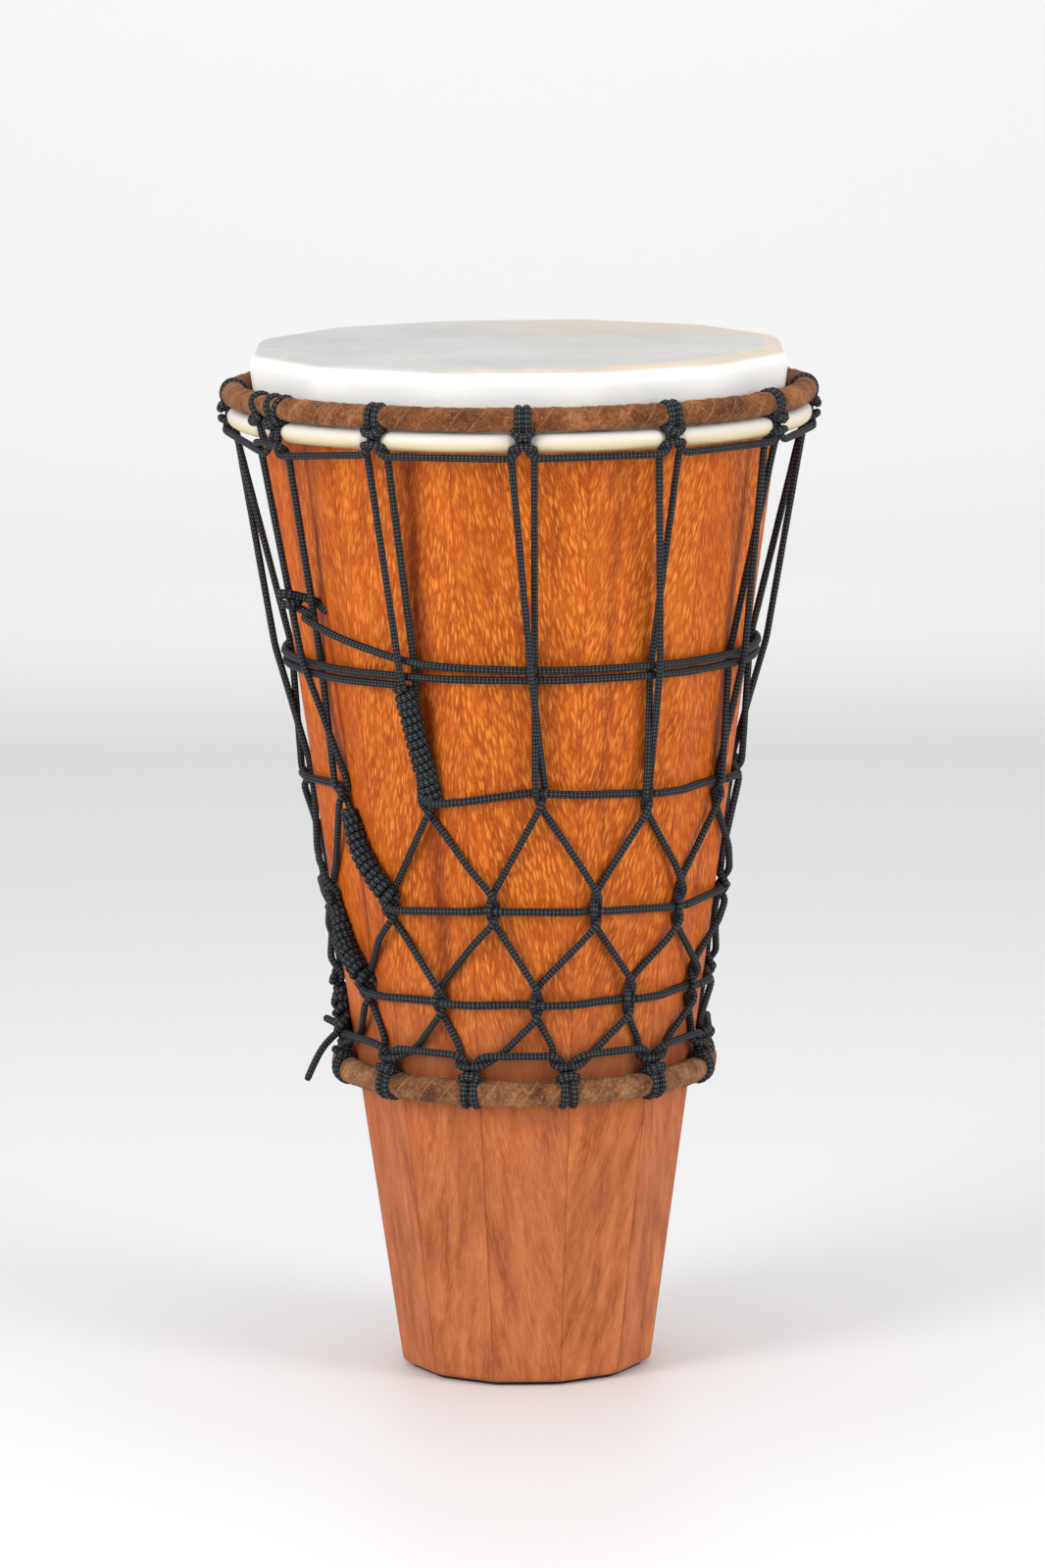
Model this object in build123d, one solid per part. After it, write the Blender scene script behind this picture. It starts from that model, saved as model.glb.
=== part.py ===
from build123d import *
import os
from math import cos, degrees, radians, sin, sqrt, tan

os.makedirs("parts", exist_ok=True)

# A rope-tuned hand drum: a twelve-sided tapered shell of staves that stands on its open lower end,
# a skin head held by a rope-hung crown ring, and a lower ring wedged on the taper. All sizes are in
# millimetres and degrees. +Z is up, the origin is the centre of the foot, and an angle of 0 is the
# front, -Y, growing towards +X.

# ---------- driving dimensions ----------
HEIGHT = 600.0
SIDES = 12
FOOT_APOTHEM = 72.0  # centre to flat of the shell's outside, at the floor
TAPER = 0.1375  # how much that grows for each mm of height
WALL = 13.0
EDGE_ROUND = 35.0  # rounding of the long edges between two staves, at the widest point
FOOT_THICK = 2.0
FOOT_INSET = 5.5  # the foot stands back from the shell's side by this much
SKIN = 0.9
HEAD_ROUND = 9.0
FIT = 0.05  # air between pieces that touch

ROPE = 4.4
LARGEST_BEND = 45.0

RING_BAR = 7.0
CROWN_R, CROWN_Z, CROWN_TUBE = 164.4, 573.0, 14.0
ROLL_R, ROLL_Z, ROLL_TUBE = 163.0, 560.0, 11.6
HOOP_BAR, HOOP_DROP = 4.4, 0.7
LOWER_R, LOWER_Z, LOWER_TUBE = 105.4, 180.0, 14.6

# where the rope work turns round the shell, as an angle past the middle of each stave
KNOT_TURN, BELT_TURN = 0.6, 3.2
ROW_TURN = (4.6, -10.1, 3.8)
LOW_KNOT_TURN = -16.7
ROW_Z = (353.0, 285.0, 232.0)
BELT_Z, BELT_FALL = 428.6, 5.6
CHORD_Z, LOW_CHORD_Z = 551.6, 202.2

# how far a rope's centre stands off the shell
LOW_GAP, HIGH_GAP, TOP_GAP = 2.5, 7.3, 12.0
LOW_CROSS, HIGH_CROSS = 1.9, 8.1  # the same where its line bends at once, which evens them out
CORNER_GAP = 3.0
TWIST = 3.8  # half the distance between two strands that a weave row passes through
TWIST_UP, TWIST_DOWN = 10.0, 9.0  # from a row to the crossings above and below it

STEP = 360 / SIDES
HALF = STEP / 2
HEAD_APOTHEM = FOOT_APOTHEM + TAPER * HEIGHT

STANDING = (Align.CENTER, Align.CENTER, Align.MIN)


# ---------- places ----------
def apothem(z):
    return FOOT_APOTHEM + TAPER * z


def edge_round(a):
    return EDGE_ROUND * a / HEAD_APOTHEM


def shell_radius(theta, z):
    """Distance from the axis to the shell's outside in one direction."""
    a = apothem(z)
    off = (theta + HALF) % STEP - HALF
    corner = (a - edge_round(a)) / cos(radians(HALF)) + edge_round(a)
    return min(a / cos(radians(off)), corner)


def at(theta, z, r):
    return (r * sin(radians(theta)), -r * cos(radians(theta)), z)


def beside(theta, u, z, r):
    """A point u to the right of the direction theta, seen from outside, r out from the axis."""
    s, c = sin(radians(theta)), cos(radians(theta))
    return (r * s + u * c, -r * c + u * s, z)


def on_shell(theta, z, gap):
    return at(theta, z, shell_radius(theta, z) + gap)


def turn_of(u, r):
    return degrees(u / r)


# ---------- ropes ----------
def away(a, b):
    return Vector(*b) - Vector(*a)


def cleared(points):
    """Leave out each point that bends the line by under half a degree."""
    kept = [points[0]]
    for here, after in zip(points[1:], points[2:]):
        if away(kept[-1], here).get_angle(away(here, after)) > 0.5:
            kept.append(here)
    return kept + [points[-1]]


def bend_radii(points):
    """Each bend takes 0.45 of the shorter run beside it, up to the largest bend."""
    radii = []
    for start, corner, end in zip(points, points[1:], points[2:]):
        before, after = away(start, corner), away(corner, end)
        shorter = min(before.length, after.length)
        radii.append(min(LARGEST_BEND, 0.45 * shorter / tan(radians(before.get_angle(after) / 2))))
    return radii


def rope(points, diameter=ROPE):
    points = cleared(points)
    radii = bend_radii(points)
    path = FilletPolyline(*points, radius=radii) if radii else Line(*points)
    start = Plane(origin=path @ 0, z_dir=path % 0)
    solid = sweep(start * Circle(diameter / 2), path=path)
    section = Circle(diameter / 2).area
    print("rope of radius", diameter / 2, "least bend", round(min(radii, default=0), 1),
          "length", round(path.length), "volume over section", round(solid.volume / section))
    return solid


def mirrored(half):
    """A knot's left half, given from the outside in, followed by its right half."""
    return half + [(-u, z, r) for u, z, r in reversed(half[:-1])]


# one knot on the crown ring, from the chord on its left to the bar across its front: the rope goes
# up in front of the ring, over it, down behind it and out below: to the right, height, distance
# from the axis
UPPER_KNOT = [
    (-11.0, CHORD_Z, 168.6), (-7.6, CHORD_Z + 0.2, 168.4), (-3.3, 555.4, 167.8),
    (-2.3, 560.0, 167.0), (-2.3, 564.4, 167.6),
    (-2.3, CROWN_Z - 3.0, CROWN_R + 5.8), (-2.3, CROWN_Z + 1.6, CROWN_R + 6.4),
    (-2.3, CROWN_Z + 5.6, CROWN_R + 3.6), (-2.3, CROWN_Z + 6.4, CROWN_R - 1.2),
    (-2.4, CROWN_Z + 3.8, CROWN_R - 5.4), (-2.8, CROWN_Z - 1.0, CROWN_R - 6.4),
    (-4.2, CROWN_Z - 5.2, CROWN_R - 4.2), (-5.8, CROWN_Z - 6.8, CROWN_R + 0.6),
    (-6.6, 566.4, CROWN_R + 5.4), (-4.4, 564.4, CROWN_R + 7.6), (0.0, 563.6, CROWN_R + 7.9),
]
DOUBLED = 10  # the knot that the closing loop makes a double one, counted from the front
REGULAR_AT, CLOSING_AT = 14.0, 0.0  # its two loops, to the right of the other knots' place
LEG_LEFT, LEG_RIGHT = -13.0, 19.0  # the legs of the tension rope below them
ARCH_LEFT, ARCH_RIGHT = -4.8, 21.2  # the ends of the arch between those legs, further out


def upper_period(n):
    """The cradle rope from the middle of one chord, round a knot, to the middle of the next chord."""
    knot = [beside(knot_turn(n), u, z, r) for u, z, r in mirrored(UPPER_KNOT)]
    left = half_way(n - 1)
    right = half_way(n)
    return [left] + knot + [right]


def knot_turn(n):
    """The direction of a knot on the crown ring."""
    shift = turn_of(REGULAR_AT, CROWN_R) if n % SIDES == DOUBLED else 0.0
    return KNOT_TURN + n * STEP + shift


def half_way(n):
    """The middle of the chord that follows a knot."""
    u, z, r = UPPER_KNOT[0]
    start = Vector(*beside(knot_turn(n), -u, z, r))
    end = Vector(*beside(knot_turn(n + 1), u, z, r))
    return tuple((start + end) / 2)


def closing_loop_points():
    """A single turn round the crown ring whose bar crosses in front of its own strand."""
    start = [(2.8, 552.6, 168.6), (-0.6, 557.0, 168.0), (-3.4, 561.0, 167.4), (-3.8, 564.4, 167.8)]
    turn = [(u - 1.7, z, r) for u, z, r in UPPER_KNOT[5:11]]
    tuck = [(-6.6, CROWN_Z - 5.2, CROWN_R - 4.2), (-8.6, CROWN_Z - 6.8, CROWN_R + 0.6),
            (-8.8, 566.2, CROWN_R + 6.0), (-6.4, 564.4, CROWN_R + 8.0), (-1.4, 564.2, CROWN_R + 8.2),
            (2.4, 566.6, CROWN_R + 7.8)]
    centre = DOUBLED * STEP + KNOT_TURN
    return [beside(centre, CLOSING_AT + u, z, r) for u, z, r in start + turn + tuck]


def lower_knot():
    """One knot on the lower ring, from chord to chord, as (angle, height, distance from the axis).

    The rope goes down in front of the ring, under it, up between it and the shell and out above."""
    waist = [
        (-11.0, LOW_CHORD_Z, 7.6), (-7.6, LOW_CHORD_Z - 0.2, 7.6), (-3.4, 199.2, 3.8), (-2.4, 195.2, 2.8),
    ]
    front = [
        (-2.5, 190.0, LOWER_R + 2.2), (-2.8, LOWER_Z + 4.9, LOWER_R + 5.8),
        (-3.3, LOWER_Z - 0.7, LOWER_R + 7.6), (-3.7, LOWER_Z - 5.8, LOWER_R + 4.9),
        (-3.8, LOWER_Z - 7.8, LOWER_R - 0.9),
    ]
    behind = [(-3.8, 176.0, 2.4), (-4.2, 184.0, 2.4)]
    bar = [
        (-5.4, LOWER_Z + 8.4, LOWER_R - 1.0), (-7.0, 189.8, LOWER_R + 3.4), (-5.4, 190.6, LOWER_R + 6.8),
        (0.0, 191.0, LOWER_R + 7.3),
    ]
    left, right = [], []
    for side, sign in ((left, 1), (right, -1)):
        side += [close(sign * u, z, gap) for u, z, gap in waist]
        side += [(LOW_KNOT_TURN + sign * turn_of(u, LOWER_R), z, r) for u, z, r in front]
        side += [close(sign * u, z, gap) for u, z, gap in behind]
        side += [(LOW_KNOT_TURN + sign * turn_of(u, LOWER_R), z, r) for u, z, r in bar]
    return left + right[-2::-1]


def close(u, z, gap):
    """A point of a lower knot at a distance from the shell, to the right of the knot's middle."""
    theta = LOW_KNOT_TURN + turn_of(u, LOWER_R)
    return theta, z, shell_radius(theta, z) + gap


def lower_period(n):
    knot = [at(n * STEP + t, z, r) for t, z, r in lower_knot()]
    turn, z, r = lower_knot()[0]
    following = Vector(*at((n + 1) * STEP + turn, z, r))
    turn, z, r = lower_knot()[-1]
    before = Vector(*at((n - 1) * STEP + turn, z, r))
    left = tuple((before + Vector(*knot[0])) / 2)
    right = tuple((Vector(*knot[-1]) + following) / 2)
    return [left] + knot + [right]


# ---------- the tension rope ----------
def node_points(row, theta, over, first=0, last=3):
    """A strand's crossing above a weave row, its place in the row and its crossing below.

    The strand that comes from the left lies over the other one at both crossings, and under the row's
    own rope between them."""
    z = ROW_Z[row]
    side = turn_of(TWIST, shell_radius(theta, z) + LOW_GAP)
    crossing, middle, shift = HIGH_CROSS, LOW_CROSS, side
    if not over:
        crossing, middle, shift = LOW_CROSS, HIGH_CROSS, -side
    points = [
        (theta, z + TWIST_UP, crossing),
        (theta + shift, z, middle),
        (theta, z - TWIST_DOWN, crossing),
    ]
    return points[first:last]


def with_corners(points):
    """Add a point wherever the line crosses a long edge of the shell, held off that edge."""
    out = [points[0]]
    for (t0, z0, g0), (t1, z1, g1) in zip(points, points[1:]):
        low, high = sorted((t0, t1))
        edge = (low - HALF) // STEP * STEP + HALF + STEP
        edges = []
        while edge < high:
            if low + 1.5 < edge < high - 1.5:
                edges.append(edge)
            edge += STEP
        for e in edges if t1 > t0 else reversed(edges):
            part = (e - t0) / (t1 - t0)
            out.append((e, z0 + (z1 - z0) * part, max(CORNER_GAP, g0 + (g1 - g0) * part)))
        out.append((t1, z1, g1))
    return out


LIFTED = {  # a strand that a coil is wound on, by stave and side, and where it is lifted for it
    (11, "left"): (3.9, 376.0, 6.0),
    (10, "right"): (12.5, 318.0, 6.0),
    (10, "left"): (-3.4, 257.0, 6.2),
    (9, "right"): (9.2, 214.5, 5.9),
}


BELT_SHIFT = {(10, "left"): -4.5, (10, "right"): -2.5}  # two strands that pass the belt further left


def strand_points(n, side):
    """One strand from a knot on the crown ring down to a knot on the lower ring."""
    left = side == "left"
    sign, end = (-1, 1) if left else (1, -1)
    leg, arch = 7.4, 6.2
    if n == DOUBLED:
        leg = -LEG_LEFT if left else LEG_RIGHT
        arch = -ARCH_LEFT if left else ARCH_RIGHT
    hook = [(arch, 557.8, 171.4), ((leg + arch) / 2 + 0.8, 556.6, 167.6), (leg, 552.4, 164.4)]
    turn = BELT_TURN + BELT_SHIFT.get((n, side), 0.0)
    belt = (turn, BELT_Z - 2.0, TOP_GAP if left else LOW_GAP)
    way = [belt] + node_points(0, ROW_TURN[0], left, first=1)
    if left:
        way += node_points(1, ROW_TURN[1], False) + node_points(2, ROW_TURN[2], True)
        knot = LOW_KNOT_TURN
    else:
        way += node_points(1, ROW_TURN[1] + STEP, True) + node_points(2, ROW_TURN[2], False)
        knot = LOW_KNOT_TURN + STEP
    if (n, side) in LIFTED:
        way.append(LIFTED[n, side])
        way.sort(key=lambda p: -p[1])
    for u, z, gap in ((7.4, LOW_CHORD_Z + 1.4, 2.1), (8.1, 196.6, 4.4), (5.6, 196.0, 7.6)):
        way.append((knot + end * turn_of(u, 103), z, gap))
    top = [beside(n * STEP + KNOT_TURN, sign * u, z, r) for u, z, r in hook]
    return top + [on_shell(n * STEP + t, z, g) for t, z, g in with_corners(way)]


def run_points(n):
    """A run: up from the bottom of a lower knot, over an upper knot, and down to the next lower knot."""
    middle = (ARCH_LEFT + ARCH_RIGHT) / 2 if n == DOUBLED else 0.0
    crest = [beside(n * STEP + KNOT_TURN, middle, 558.4, 172.2)]
    dips = [on_shell(n * STEP + LOW_KNOT_TURN + turn, 195.8, 7.8) for turn in (0, STEP)]
    left, right = strand_points(n, "left"), strand_points(n, "right")
    return [dips[0]] + left[::-1] + crest + right + [dips[1]]


def belt_height(theta):
    return BELT_Z - BELT_FALL * theta / 360


BELT_END = 2 * 360 - STEP + 1.6  # the belt goes twice round and ends at the first coil


def belt_points():
    points = [(-57.6, 447.6, 10.5), (-55.6, 445.4, 9.6), (-45.0, 440.6, CORNER_GAP + 1.6),
              (-STEP + 3.2, 434.5, HIGH_GAP), (-HALF, 430.6, CORNER_GAP)]
    theta = BELT_TURN
    while theta < BELT_END - 3:
        points.append((theta, belt_height(theta), HIGH_GAP))
        points.append((theta - BELT_TURN + HALF, belt_height(theta + HALF), CORNER_GAP))
        theta += STEP
    points.append((BELT_END, belt_height(BELT_END) + 0.4, HIGH_GAP + 0.6))
    return [on_shell(*p) for p in points]


ROW_START = (-STEP, -STEP, -2 * STEP)  # the stave whose node each row starts at
ROW_SPANS = SIDES - 1


def row_points(row):
    """A weave row: behind the strand on a node's left, and over the one on its right, all round."""
    z = ROW_Z[row]
    first = ROW_START[row] + ROW_TURN[row]
    side = turn_of(TWIST, shell_radius(first, z) + LOW_GAP)
    points = [(first - side * 0.5, z + 5.0, HIGH_CROSS + 2.0), (first + side, z, HIGH_CROSS)]
    for n in range(1, ROW_SPANS + 1):
        theta = first + n * STEP
        points += [(theta - side, z, LOW_CROSS), (theta + side, z, HIGH_CROSS)]
    points.append((first + ROW_SPANS * STEP + side * 1.6, z - 5.0, HIGH_CROSS + 1.0))
    return [on_shell(*p) for p in with_corners(points)]


# ---------- coils, knots and tail ----------
COIL = 11.2  # outside of a strand with the rope wound round it
KNOT = 13.6
WOUND = {  # stave and side of a strand, and the heights between which the rope is wound on it
    "rope_coil_1": (11, "left", 415.0, 362.0, COIL),
    "rope_coil_2": (10, "right", 336.0, 300.0, COIL),
    "rope_coil_3": (10, "left", 271.0, 242.5, COIL),
    "rope_coil_4": (9, "right", 222.0, 207.5, COIL),
    "belt_knot": (10, "left", 461.5, 451.5, KNOT),
}
END_KNOT = at(-75.0, 205.5, 110.2)
TAIL_ROUTE = [at(-74.0, 203.0, 112.0), (-114.5, -33.5, 197.5), (-121.0, -35.5, 188.0),
              (-126.5, -36.5, 175.0)]


def between(points, high, low):
    """The stretch of a falling line from one height to another."""
    out = []
    for a, b in zip(points, points[1:]):
        for z in (high, low):
            if a[2] > z >= b[2]:
                part = (a[2] - z) / (a[2] - b[2])
                out.append(tuple(a[i] + (b[i] - a[i]) * part for i in range(3)))
        if high > b[2] > low:
            out.append(b)
    return out


def wound(name, shell, runs):
    n, side, high, low, diameter = WOUND[name]
    form = rope(between(strand_points(n, side), high, low), diameter) - shell
    for run in runs[n - 1:n + 1]:
        form -= run
    return form


def end_knot():
    return Pos(*END_KNOT) * Sphere(KNOT / 2)


# ---------- shell ----------
def sector(z, a, inner):
    """One stave's section: flat outside with a rounding at each long edge, flat inside."""
    r = edge_round(a)
    half = radians(HALF)
    middle = (a - r) / cos(half)
    flat = (a - r) * tan(half)
    corner_x, corner_y = (middle + r) * sin(half), -(middle + r) * cos(half)
    arc_x = middle * sin(half) + r * sin(half / 2)
    arc_y = -middle * cos(half) - r * cos(half / 2)
    inside = inner * tan(half)
    edges = [
        Line((-inside, -inner), (-corner_x, corner_y)),
        ThreePointArc((-corner_x, corner_y), (-arc_x, arc_y), (-flat, -a)),
        Line((-flat, -a), (flat, -a)),
        ThreePointArc((flat, -a), (arc_x, arc_y), (corner_x, corner_y)),
        Line((corner_x, corner_y), (inside, -inner)),
        Line((inside, -inner), (-inside, -inner)),
    ]
    return Pos(0, 0, z) * make_face(Wire(edges))


def outline(z, grow=0.0):
    """The whole twelve-sided outline of the shell, as a face."""
    a = apothem(z) + grow
    r = edge_round(a)
    half = radians(HALF)
    middle = (a - r) / cos(half)
    flat = (a - r) * tan(half)
    edges = []
    for n in range(SIDES):
        theta = n * STEP
        start, end = beside(theta, -flat, 0, a), beside(theta, flat, 0, a)
        bend, after = at(theta + HALF, 0, middle + r), beside(theta + STEP, -flat, 0, a)
        edges += [Line(start, end), ThreePointArc(end, bend, after)]
    return Pos(0, 0, z) * make_face(Wire(edges))


def stave():
    low, high = FOOT_THICK, HEIGHT - SKIN - FIT
    board = loft([sector(z, apothem(z), apothem(z) - WALL) for z in (low, high)], ruled=True)
    board = fillet(outer_rim(board, low), FOOT_INSET - 0.3)
    return fillet(outer_rim(board, high), HEAD_ROUND - SKIN)


def outer_rim(form, z):
    """The outside edges of an end, without the edges in a stave's two glued sides."""
    rim = [e for e in form.edges() if abs(e.center().Z - z) < 0.01]
    return [e for e in rim if off_axis(e) > apothem(z) - 1 and not is_side(e)]


def off_axis(edge):
    middle = edge @ 0.5
    return sqrt(middle.X ** 2 + middle.Y ** 2)


def is_side(edge):
    a, b = edge @ 0, edge @ 1
    return (a - b).get_angle(Vector(a.X, a.Y, 0)) % 180 < 0.1


def foot_ring():
    ring = outline(0, -FOOT_INSET) - outline(0, 1.0 - WALL)
    return extrude(ring, FOOT_THICK - FIT)


# ---------- head and rings ----------
def hoop(radius, z, diameter):
    return Pos(0, 0, z) * Torus(radius, diameter / 2)


def envelope(low, high, grow=0.0):
    """The shell's outline as one solid, between two heights."""
    return loft([outline(low, grow), outline(high, grow)], ruled=True)


def rounded_head(low, high, grow, rounding):
    form = envelope(low, high, grow)
    rim = [e for e in form.edges() if abs((e @ 0.5).Z - high) < 0.01]
    return fillet(rim, rounding)


def drumhead():
    """The skin: a flat head, its skirt, and the roll that holds the flesh hoop."""
    web_top = ROLL_Z + ROLL_TUBE / 2
    skin = rounded_head(web_top - SKIN, HEIGHT, SKIN, HEAD_ROUND)
    skin += Pos(0, 0, web_top - SKIN) * Cylinder(ROLL_R, SKIN, align=STANDING)
    skin -= rounded_head(web_top - 2 * SKIN, HEIGHT - SKIN, FIT, HEAD_ROUND - SKIN)
    skin += hoop(ROLL_R, ROLL_Z, ROLL_TUBE) - envelope(ROLL_Z - ROLL_TUBE, ROLL_Z + ROLL_TUBE, FIT)
    return skin - hoop(ROLL_R, ROLL_Z - HOOP_DROP, HOOP_BAR + 2 * FIT)


def ring_wrap(radius, z, tube):
    return hoop(radius, z, tube) - hoop(radius, z, RING_BAR + 2 * FIT)


# ---------- the drum ----------
def write(name, *solids):
    piece = solids[0] if len(solids) == 1 else Compound(children=list(solids))
    piece.label = name
    export_step(piece, "parts/" + name + ".step")


def numbered(name, n):
    return name + "_" + str(n + 1).zfill(2)


def build_shell():
    board = stave()
    for n in range(SIDES):
        write(numbered("stave", n), Rot(0, 0, n * STEP) * board)
    write("foot_ring", foot_ring())


NEAR_DOUBLED = (DOUBLED - 1, DOUBLED, DOUBLED + 1)


def build_ropes():
    regular = rope(upper_period(0))
    upper = [Rot(0, 0, n * STEP) * regular for n in range(SIDES) if n not in NEAR_DOUBLED]
    upper += [rope(upper_period(n)) for n in NEAR_DOUBLED]
    lower = rope(lower_period(0))
    return upper, [Rot(0, 0, n * STEP) * lower for n in range(SIDES)]


def build_runs():
    regular = rope(run_points(0))
    special = {n for n, side in LIFTED} | {DOUBLED}
    return [rope(run_points(n)) if n in special else Rot(0, 0, n * STEP) * regular for n in range(SIDES)]


def build():
    print("rope_tail and every other rope: radius", ROPE / 2, "mm")
    build_shell()
    shell = envelope(FOOT_THICK, 540.0, FIT)
    upper, lower = build_ropes()
    runs = build_runs()
    write("upper_cradle_rope", *upper)
    write("lower_cradle_rope", *lower)
    write("cradle_closing_loop", rope(closing_loop_points()))
    for n, run in enumerate(runs):
        write(numbered("tension_rope_run", n), run)
    write("belt_rope", rope(belt_points()))
    for row in range(len(ROW_Z)):
        write("weave_row_" + str(row + 1), rope(row_points(row)))
    for name in WOUND:
        write(name, wound(name, shell, runs))
    write("rope_tail", rope(TAIL_ROUTE))
    write("end_knot", end_knot())
    write("drumhead_skin", drumhead())
    write("flesh_hoop", hoop(ROLL_R, ROLL_Z - HOOP_DROP, HOOP_BAR))
    write("crown_ring", hoop(CROWN_R, CROWN_Z, RING_BAR))
    write("crown_ring_wrap", ring_wrap(CROWN_R, CROWN_Z, CROWN_TUBE))
    write("lower_ring", hoop(LOWER_R, LOWER_Z, RING_BAR))
    write("lower_ring_wrap", ring_wrap(LOWER_R, LOWER_Z, LOWER_TUBE) - shell)


build()
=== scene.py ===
import math

import bmesh
import bpy
import numpy as np
from mathutils import Matrix, Vector, noise


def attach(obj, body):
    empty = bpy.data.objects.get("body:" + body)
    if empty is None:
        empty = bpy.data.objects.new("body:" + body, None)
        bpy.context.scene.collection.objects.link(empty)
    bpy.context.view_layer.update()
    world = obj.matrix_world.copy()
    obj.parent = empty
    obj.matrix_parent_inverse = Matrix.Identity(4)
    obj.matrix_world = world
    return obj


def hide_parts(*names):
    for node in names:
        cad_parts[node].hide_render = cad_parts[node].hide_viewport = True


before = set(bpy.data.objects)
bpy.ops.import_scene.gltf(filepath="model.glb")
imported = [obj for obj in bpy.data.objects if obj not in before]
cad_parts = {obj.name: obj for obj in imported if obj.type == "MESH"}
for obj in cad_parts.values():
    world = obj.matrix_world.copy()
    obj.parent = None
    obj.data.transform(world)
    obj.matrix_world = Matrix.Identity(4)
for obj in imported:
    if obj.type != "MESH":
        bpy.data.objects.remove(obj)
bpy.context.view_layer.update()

# A rope-tuned hand drum. Angles are in degrees from the front, -Y, growing towards +X; lengths are in
# millimetres until a mesh is made, in metres. The ropes follow the CAD's routes, with more of the slips
# and slack that the real ones have.
MM = 0.001

# ---------- driving dimensions ----------
HEIGHT = 600.0
SIDES = 12
FOOT_APOTHEM = 72.0
TAPER = 0.1375  # growth of the apothem with height
EDGE_ROUND = 35.0  # radius of the long edges at the head; it shrinks with the shell
STEP = 360 / SIDES
HALF = STEP / 2
HEAD_APOTHEM = FOOT_APOTHEM + TAPER * HEIGHT

# The crown ring, the skin's roll and the lower ring: radius, height and thickness.
CROWN_R, CROWN_Z, CROWN_TUBE = 164.4, 573.0, 14.0
ROLL_R, ROLL_Z, ROLL_TUBE = 163.0, 560.0, 11.6
LOWER_R, LOWER_Z, LOWER_TUBE = 105.4, 180.0, 14.6

# Where the ropes cross, from the middle of each stave, and how high; the weave rows go from the top down.
KNOT_TURN, BELT_TURN = 0.6, 3.2
ROW_TURN = (4.6, -10.1, 3.8)
LOW_KNOT_TURN = -16.7
ROW_Z = (353.0, 285.0, 232.0)
BELT_Z, BELT_FALL = 428.6, 5.6  # the belt's height and how far it falls in one round
CHORD_Z, LOW_CHORD_Z = 551.6, 202.2  # the cradle ropes between their knots

TAUT, SOFT = 4.1, 4.6  # how thick the rope is where it is pulled tight, and elsewhere

# How far a rope's centre line is from the shell: against it, over one rope, and over two.
LOW_GAP, HIGH_GAP, TOP_GAP = 2.4, 7.3, 12.0
LOW_CROSS, HIGH_CROSS = 1.0, 7.4  # the same for the route's points in the weave, which smoothing evens out
CORNER_GAP = 4.6  # and at the shell's long edges
TWIST = 2.9  # half the distance between the two strands that a weave row passes through
TWIST_UP, TWIST_DOWN = 9.6, 7.8  # from a row to the crossings above and below it
LOW_STRAND_R = 103.0  # where the strands reach the lower knots


# ---------- places ----------
def apothem(z):
    return FOOT_APOTHEM + TAPER * z


def shell_radius(theta, z, grow=0.0):
    """Distance from the axis to the shell's outside in one direction."""
    a = apothem(z) + grow
    r = EDGE_ROUND * a / HEAD_APOTHEM
    off = (theta + HALF) % STEP - HALF
    corner = (a - r) / math.cos(math.radians(HALF)) + r
    return min(a / math.cos(math.radians(off)), corner)


def at(theta, z, r):
    """The point in one direction, at a height and a distance from the axis."""
    return (r * math.sin(math.radians(theta)), -r * math.cos(math.radians(theta)), z)


def beside(theta, u, z, r):
    """The same, moved u to the right."""
    s, c = math.sin(math.radians(theta)), math.cos(math.radians(theta))
    return (r * s + u * c, -r * c + u * s, z)


def on_shell(theta, z, gap):
    return at(theta, z, shell_radius(theta, z) + gap)


def turn_of(u, r):
    """The angle of an arc of length u at radius r."""
    return math.degrees(u / r)


# ---------- meshes ----------
def new_object(name, mesh):
    piece = bpy.data.objects.new(name, mesh)
    bpy.context.scene.collection.objects.link(piece)
    return piece


def finished(name, mesh, material, slot, *replaced):
    """A piece with its look, its body, its slot (not used) and the CAD nodes that it stands for."""
    mesh.materials.append(material)
    piece = new_object(name, mesh)
    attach(piece, "root")
    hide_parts(*replaced)
    return piece


def grid_mesh(name, rings, closed_along=False):
    """A tube's mesh from rings of points in millimetres, an array (rings, around, 3)."""
    count, around, _ = rings.shape
    base = np.arange(count * around).reshape(count, around)
    nxt = np.roll(base, -1, axis=1)
    if closed_along:
        low, low_next = base, nxt
        high, high_next = np.roll(base, -1, axis=0), np.roll(nxt, -1, axis=0)
    else:
        low, low_next, high, high_next = base[:-1], nxt[:-1], base[1:], nxt[1:]
    faces = np.stack([low, low_next, high_next, high], axis=-1).reshape(-1, 4)
    verts = rings.reshape(-1, 3) * MM
    loops = faces.reshape(-1)
    starts = np.arange(len(faces)) * 4
    totals = np.full(len(faces), 4)
    if not closed_along:
        loops = np.concatenate([loops, base[0][::-1], base[-1]])
        starts = np.concatenate([starts, [len(faces) * 4, len(faces) * 4 + around]])
        totals = np.concatenate([totals, [around, around]])
    mesh = bpy.data.meshes.new(name)
    mesh.vertices.add(len(verts))
    mesh.vertices.foreach_set("co", verts.reshape(-1))
    mesh.loops.add(len(loops))
    mesh.loops.foreach_set("vertex_index", loops.astype(np.int32))
    mesh.polygons.add(len(starts))
    mesh.polygons.foreach_set("loop_start", starts.astype(np.int32))
    mesh.polygons.foreach_set("loop_total", totals.astype(np.int32))
    mesh.update(calc_edges=True)
    mesh.validate()
    mesh.shade_smooth()
    return mesh


def joined(name, meshes):
    """One mesh of several, each left as it is."""
    form = bmesh.new()
    for mesh in meshes:
        form.from_mesh(mesh)
    out = bpy.data.meshes.new(name)
    form.to_mesh(out)
    form.free()
    for mesh in meshes:
        bpy.data.meshes.remove(mesh)
    out.shade_smooth()
    return out


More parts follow.
